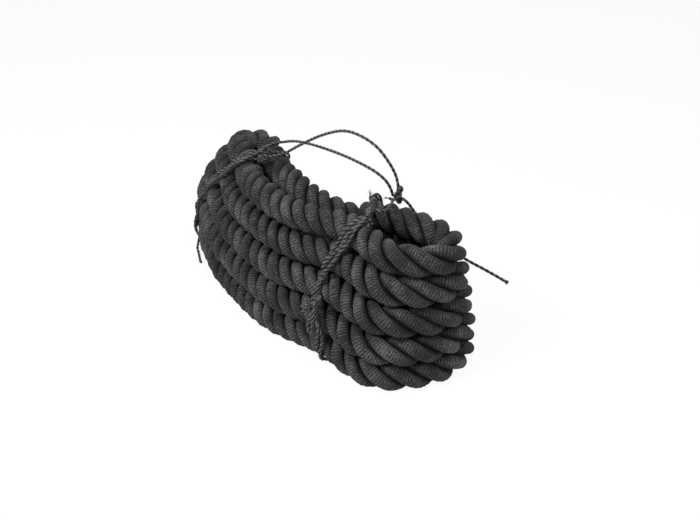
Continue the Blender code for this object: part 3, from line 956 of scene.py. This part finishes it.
def make_knot(side, place, way, material, tree, lying):
    """A knot of the same twine: a drawn-up tie, hitches across it and its cut, frayed ends."""
    seed, size, ends, hitches = TIES[side]
    random = np.random.default_rng(seed)
    axes = np.array(axes_about(way))
    parts = []
    for scale, tilt, shift in [*FIRST_HITCHES, *hitches]:
        path = place + np.array(shift) + hitch_path(size * scale, tilt) @ axes
        parts += two_ply(even_steps(np.vstack([path, path[:1]]), TWINE_RING))
    free = [smooth_route([place, *(place + np.array(points))], TWINE_RING) for points in ends]
    for path in [*free, *lying]:
        parts += two_ply(path)
        last = path[-1] - path[-3]
        parts += frayed(path[-1], last / np.linalg.norm(last), random)
    return make_of_twine(side + "_tie", side + "_knot", parts, material, tree, FULL_FUZZ, seed)


def new_finish(name, sockets):
    """A material with its shader's own sockets set, its node tree and that shader."""
    material = bpy.data.materials.new(name)
    material.use_nodes = True
    shader = material.node_tree.nodes["Principled BSDF"]
    for socket, value in sockets.items():
        shader.inputs[socket].default_value = value
    return material, material.node_tree, shader


def calc(tree, operation, *values):
    """The result of a sum on numbers and other nodes' results."""
    return added(tree, "ShaderNodeMath", dict(enumerate(values)), operation=operation).outputs[0]


def noise(tree, place, scale, detail):
    """A noise read at a place."""
    inputs = {"Vector": place, "Scale": scale, "Detail": detail}
    return added(tree, "ShaderNodeTexNoise", inputs).outputs["Fac"]


def greys(tree, value, stops):
    """The colour read from a value between stops, each a place, its grey and its slightly stronger blue."""
    ramp = added(tree, "ShaderNodeValToRGB", {"Fac": value})
    elements = ramp.color_ramp.elements
    for index, (place, grey, blue) in enumerate(stops):
        stop = elements[index] if index < len(elements) else elements.new(place)
        stop.position = place
        stop.color = (grey, grey, blue, 1.0)
    return ramp.outputs["Color"]


def with_painted_shade(tree, colour, value, span):
    """Painted shade: a colour that falls to the painted shade's darkest share of itself as a value falls
    through a span.
    """
    light = added(tree, "ShaderNodeMapRange", {
        "Value": value, "From Min": span[0], "From Max": span[1], "To Min": PAINTED_SHADE_DARKEST},
        interpolation_type="SMOOTHSTEP").outputs[0]
    return added(tree, "ShaderNodeMixRGB", {0: 1.0, 1: colour, 2: light}, blend_type="MULTIPLY").outputs[0]


def clothe(tree, shader, colour, height, distance, strength):
    """Gives a shader its colour and its bump."""
    bump = added(tree, "ShaderNodeBump", {"Height": height, "Distance": distance, "Strength": strength})
    tree.links.new(bump.outputs["Normal"], shader.inputs["Normal"])
    tree.links.new(colour, shader.inputs["Base Color"])


def rope_cloth():
    """Charcoal woven sleeve: close cross ribs of small knitted loops, with a painted highlight on the rib
    crests, painted shade in the rib hollows and painted shade in the valleys between strands.
    """
    material, tree, shader = new_finish("rope_cloth", CLOTH)
    place = tree.nodes.new("ShaderNodeTexCoord").outputs
    uv = added(tree, "ShaderNodeSeparateXYZ", {0: place["UV"]}).outputs
    wander = calc(tree, "MULTIPLY", noise(tree, place["Object"], *WANDER_NOISE), RIB_WANDER)
    rib_turn = calc(tree, "ADD", calc(tree, "MULTIPLY", uv["Y"], 2 * math.pi / RIB_PITCH), wander)
    ribs = calc(tree, "MULTIPLY_ADD", calc(tree, "SINE", rib_turn), 0.5, 0.5)
    around = calc(tree, "MULTIPLY", uv["X"], 2 * math.pi * RIB_LOOPS)
    loops = calc(tree, "SINE", calc(tree, "ADD", around, calc(tree, "MULTIPLY", rib_turn, RIB_SLANT)))
    raised = calc(tree, "MULTIPLY_ADD", loops, LOOP_SHARE, 1.0 - LOOP_SHARE)
    height = calc(tree, "MULTIPLY", ribs, raised)

    patches = noise(tree, place["Object"], *PATCH_NOISE)
    specks = noise(tree, place["Object"], *SPECK_NOISE)
    mottled = calc(tree, "MULTIPLY", patches, specks)
    fleck = calc(tree, "ADD", calc(tree, "MULTIPLY", mottled, FLECK_TONE), BASE_TONE)
    # Painted highlight and shade: the rib crests are lighter and the rib hollows darker in the colour, on
    # top of the random flecks.
    tone = calc(tree, "ADD", calc(tree, "MULTIPLY", height, RIB_PAINTED_LIGHT_AND_SHADE), fleck)
    # Painted shade: the colour darkens where the surface lies near the rope's axis, in the valleys between
    # strands.
    depth = added(tree, "ShaderNodeAttribute", attribute_name="depth").outputs["Fac"]
    colour = with_painted_shade(tree, greys(tree, tone, CLOTH_GREYS), depth, PAINTED_VALLEY_SHADE)
    clothe(tree, shader, colour, height, RIB_BUMP, 1.0)
    return material


def twine_fibre():
    """Grey spun fibre, with painted shade between the plies, so each ply is pale only along its outside."""
    material, tree, shader = new_finish("twine_fibre", FIBRE)
    place = tree.nodes.new("ShaderNodeTexCoord").outputs
    stretched = added(tree, "ShaderNodeMapping", {"Vector": place["UV"], "Scale": FIBRE_STRETCH}).outputs[0]
    fibres = noise(tree, stretched, *FIBRE_NOISE)
    around = added(tree, "ShaderNodeSeparateXYZ", {0: place["UV"]}).outputs["X"]
    # Painted shade: each ply darkens on the side that faces the other ply.
    outside = calc(tree, "COSINE", calc(tree, "MULTIPLY", around, 2 * math.pi))
    colour = with_painted_shade(tree, greys(tree, fibres, FIBRE_GREYS), outside, PAINTED_SHADE_BETWEEN_PLIES)
    clothe(tree, shader, colour, fibres, FIBRE_BUMP, FIBRE_BUMP_STRENGTH)
    return material


def floor_paper():
    """Pale floor that the camera sees as nearly plain white, with a trace of the shadow."""
    material, tree, shader = new_finish("floor_paper", FLOOR)
    rays = tree.nodes.new("ShaderNodeLightPath").outputs
    mix = added(tree, "ShaderNodeMixShader", {
        0: calc(tree, "MULTIPLY", rays["Is Camera Ray"], FLOOR_WHITE),
        1: shader.outputs[0], 2: tree.nodes.new("ShaderNodeEmission").outputs[0]})
    tree.links.new(mix.outputs[0], tree.nodes["Material Output"].inputs["Surface"])
    return material


def light_world():
    """A dim even world that the camera and gloss see as white."""
    world = bpy.data.worlds.new("studio_world")
    bpy.context.scene.world = world
    world.use_nodes = True
    tree = world.node_tree
    light = tree.nodes["Background"]
    light.inputs["Color"].default_value = WORLD_COLOUR
    light.inputs["Strength"].default_value = WORLD_LIGHT
    white = added(tree, "ShaderNodeBackground", {"Color": WHITE, "Strength": 1.0})
    rays = tree.nodes.new("ShaderNodeLightPath").outputs
    seen = added(tree, "ShaderNodeMath", {
        0: rays["Is Camera Ray"], 1: rays["Is Glossy Ray"]}, operation="MAXIMUM", use_clamp=True)
    mix = added(tree, "ShaderNodeMixShader", {
        0: seen.outputs[0], 1: light.outputs[0], 2: white.outputs[0]})
    tree.links.new(mix.outputs[0], tree.nodes["World Output"].inputs["Surface"])


def aimed(name, data, place, way):
    """A lamp or camera at a place, turned to look a way."""
    item = bpy.data.objects.new(name, data)
    item.location = place
    item.rotation_euler = way.to_track_quat("-Z", "Y").to_euler()
    bpy.context.scene.collection.objects.link(item)
    return item


def studio():
    """A pale floor, soft lamps, a white world and the photograph's camera."""
    bpy.context.scene.view_settings.view_transform = "Standard"
    bpy.ops.mesh.primitive_plane_add(size=FLOOR_SIZE, location=(0.0, 0.0, 0.0))
    floor = bpy.context.active_object
    floor.name = "studio_floor"
    floor.data.materials.append(floor_paper())
    light_world()
    for name, (place, size, power) in LAMPS.items():
        lamp = bpy.data.lights.new(name, "AREA")
        lamp.size = size
        lamp.energy = power
        aimed(name, lamp, place, Vector(LAMP_TARGET) - Vector(place))

    level = math.cos(CAMERA_ELEVATION)
    back = Vector((
        math.sin(CAMERA_AZIMUTH) * level, -math.cos(CAMERA_AZIMUTH) * level, math.sin(CAMERA_ELEVATION)))
    camera = bpy.data.cameras.new("camera")
    camera.lens = CAMERA_LENS
    camera.sensor_width = CAMERA_SENSOR
    place = Vector(CAMERA_TARGET) + CAMERA_DISTANCE * back
    bpy.context.scene.camera = aimed("camera", camera, place, -back)


def twine_courses(turns, knots, ways):
    """The course of each twine, by the node that it stands for."""
    half = KNOT_LENGTH / 2
    left, right, front, carry = (knots[side] for side in ("left", "right", "front", "carry"))
    seats = even_steps(turns["left"], MEASURE_STEP)
    tail_start = route(LEFT_TAIL)[0]
    seat = seats[np.linalg.norm(seats - tail_start, axis=1).argmin()]
    upper = beside(left, ways["left"], NEARWARD)
    lower = beside(left, ways["left"], LEFT_RUN)
    linked = beside(right, ways["right"], RIGHT_RUN)
    return {
        "left_binding": turns["left"],
        "right_binding": turns["right"],
        "carry_loop_upper": led(upper, UPPER_LOOP, leaving(carry, UP, half)),
        "carry_loop_lower": led(lower, LOWER_LOOP, beside(carry, DOWN, LEFTWARD)),
        "carry_link": led(beside(carry, DOWN, FRONTWARD), LINK, linked),
        "long_tail": led(beside(carry, DOWN, RIGHTWARD), LONG_TAIL),
        "front_tail": led(leaving(front, DOWN, half), FRONT_TAIL),
        "left_tail": led(leaving(seat, tail_start - seat, TWINE_D / 2), LEFT_TAIL),
    }


def dress():
    cloth = rope_cloth()
    fibre = twine_fibre()
    tree = fuzz_tree(fibre)
    coarse = straighten_ends(hank_path(LOOP_POINTS), ROPE_D)
    near = even_steps(coarse, MEASURE_STEP)
    turns = {}
    knots = {}
    lying = {"front": [], "carry": []}
    ways = {"front": DOWN, "carry": DOWN}
    for side, (course, run, ends) in BINDINGS.items():
        tight, knots[side], ways[side] = draw_tight(near, course, run)
        turns[side] = bundled(tight, run)
        lying[side] = [lying_end(tight, run, *values) for values in ends]
    knots["front"] = in_front(even_steps(turns["right"], DRAWN_STEP), route(FRONT_KNOT))
    knots["carry"] = route(CARRY_KNOT)

    axis = rope_axis(coarse)
    bound = [even_steps(turn, DENT_STEP) for turn in turns.values()]
    rope = make_rope(axis, np.vstack([*bound, *lying["left"], *lying["right"]]), cloth)
    sleeves = [
        make_sleeve("first_sleeve", "first_end_sleeve", coarse[0], coarse[1], cloth),
        make_sleeve("last_sleeve", "last_end_sleeve", coarse[-1], coarse[-2], cloth),
    ]
    for seed, (node, course) in enumerate(twine_courses(turns, knots, ways).items()):
        make_twine(node, course, fibre, tree, seed)
    for side in TIES:
        make_knot(side, knots[side], ways[side], fibre, tree, lying[side])


studio()
dress()
